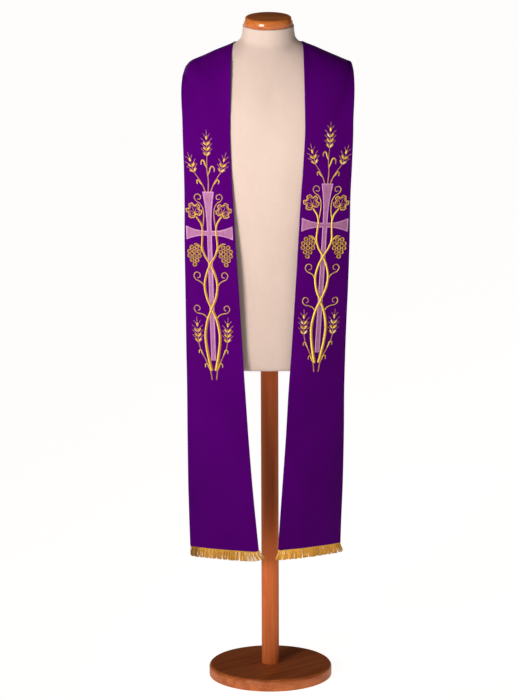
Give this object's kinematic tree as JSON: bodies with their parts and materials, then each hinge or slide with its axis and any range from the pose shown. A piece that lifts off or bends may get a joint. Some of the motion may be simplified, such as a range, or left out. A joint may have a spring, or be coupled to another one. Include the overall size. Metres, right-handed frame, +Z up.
{
  "type": "clerical stole on a dress form",
  "caption": "Long clerical stole, mitred at the nape, hanging open from the shoulders of a limbless dress form on a turned wooden stand; sewn crosses, vine and wheat, gold fringe.",
  "frame": {"origin": "centre of the base's flat underside", "axes": "+Z up along the pole, -Y the way the form faces, +X to the form's left"},
  "size_m": [0.4071, 0.3, 1.6145],
  "materials": {
    "stole_cloth": "matt purple plain weave",
    "cross_satin": "lilac satin stitching with a soft sheen",
    "fringe_thread": "twisted gold thread",
    "form_cloth": "stretched beige jersey",
    "turned_wood": "stained and varnished"
  },
  "bodies": {
    "root": {"stole_right_half": "stole_cloth", "stole_left_half": "stole_cloth", "cross_right": "cross_satin", "cross_left": "cross_satin", "fringe_right": "fringe_thread", "fringe_left": "fringe_thread", "form_torso": "form_cloth", "neck_cap": "turned_wood", "pole": "turned_wood", "base": "turned_wood"}
  },
  "joints": []
}
